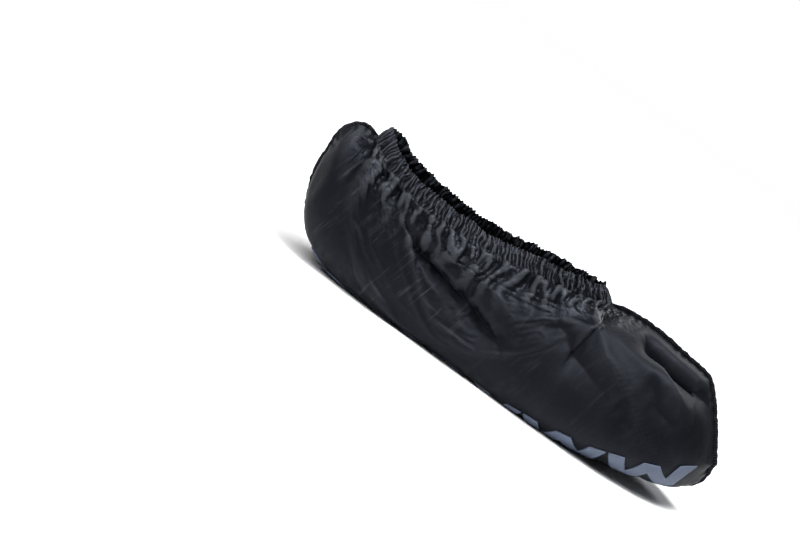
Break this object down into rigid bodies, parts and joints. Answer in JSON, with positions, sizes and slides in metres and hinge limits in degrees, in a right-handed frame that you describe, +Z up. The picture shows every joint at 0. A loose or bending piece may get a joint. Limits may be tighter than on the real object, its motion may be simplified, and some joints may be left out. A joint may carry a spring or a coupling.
{
  "type": "overshoe",
  "caption": "Black non-skid overshoe as worn over a boot, with a gathered elastic hem round its opening, one centre seam and a zigzag grip tread.",
  "frame": {"origin": "on the floor, under the centre of the overshoe's bounding box", "axes": "+X towards the toe, +Z up, -Y the side that the picture shows"},
  "size_m": [0.3458, 0.1298, 0.107],
  "materials": {
    "cloth": "coated nonwoven cloth with a soft sheen",
    "hem": "the same cloth crinkled over its elastic",
    "seam": "matt overlocked thread",
    "tread": "matt, lightly pebbled grip print"
  },
  "bodies": {
    "root": {"right_panel": "cloth", "left_panel": "cloth", "elastic_hem": "hem", "centre_seam": "seam", "tread_right_inner_1": "tread", "tread_right_inner_2": "tread", "tread_right_inner_3": "tread", "tread_right_inner_4": "tread", "tread_right_inner_5": "tread", "tread_right_outer_1": "tread", "tread_right_outer_2": "tread", "tread_right_outer_3": "tread", "tread_right_outer_4": "tread", "tread_right_outer_5": "tread", "tread_left_inner_1": "tread", "tread_left_inner_2": "tread", "tread_left_inner_3": "tread", "tread_left_inner_4": "tread", "tread_left_inner_5": "tread", "tread_left_outer_1": "tread", "tread_left_outer_2": "tread", "tread_left_outer_3": "tread", "tread_left_outer_4": "tread", "tread_left_outer_5": "tread"}
  },
  "joints": []
}
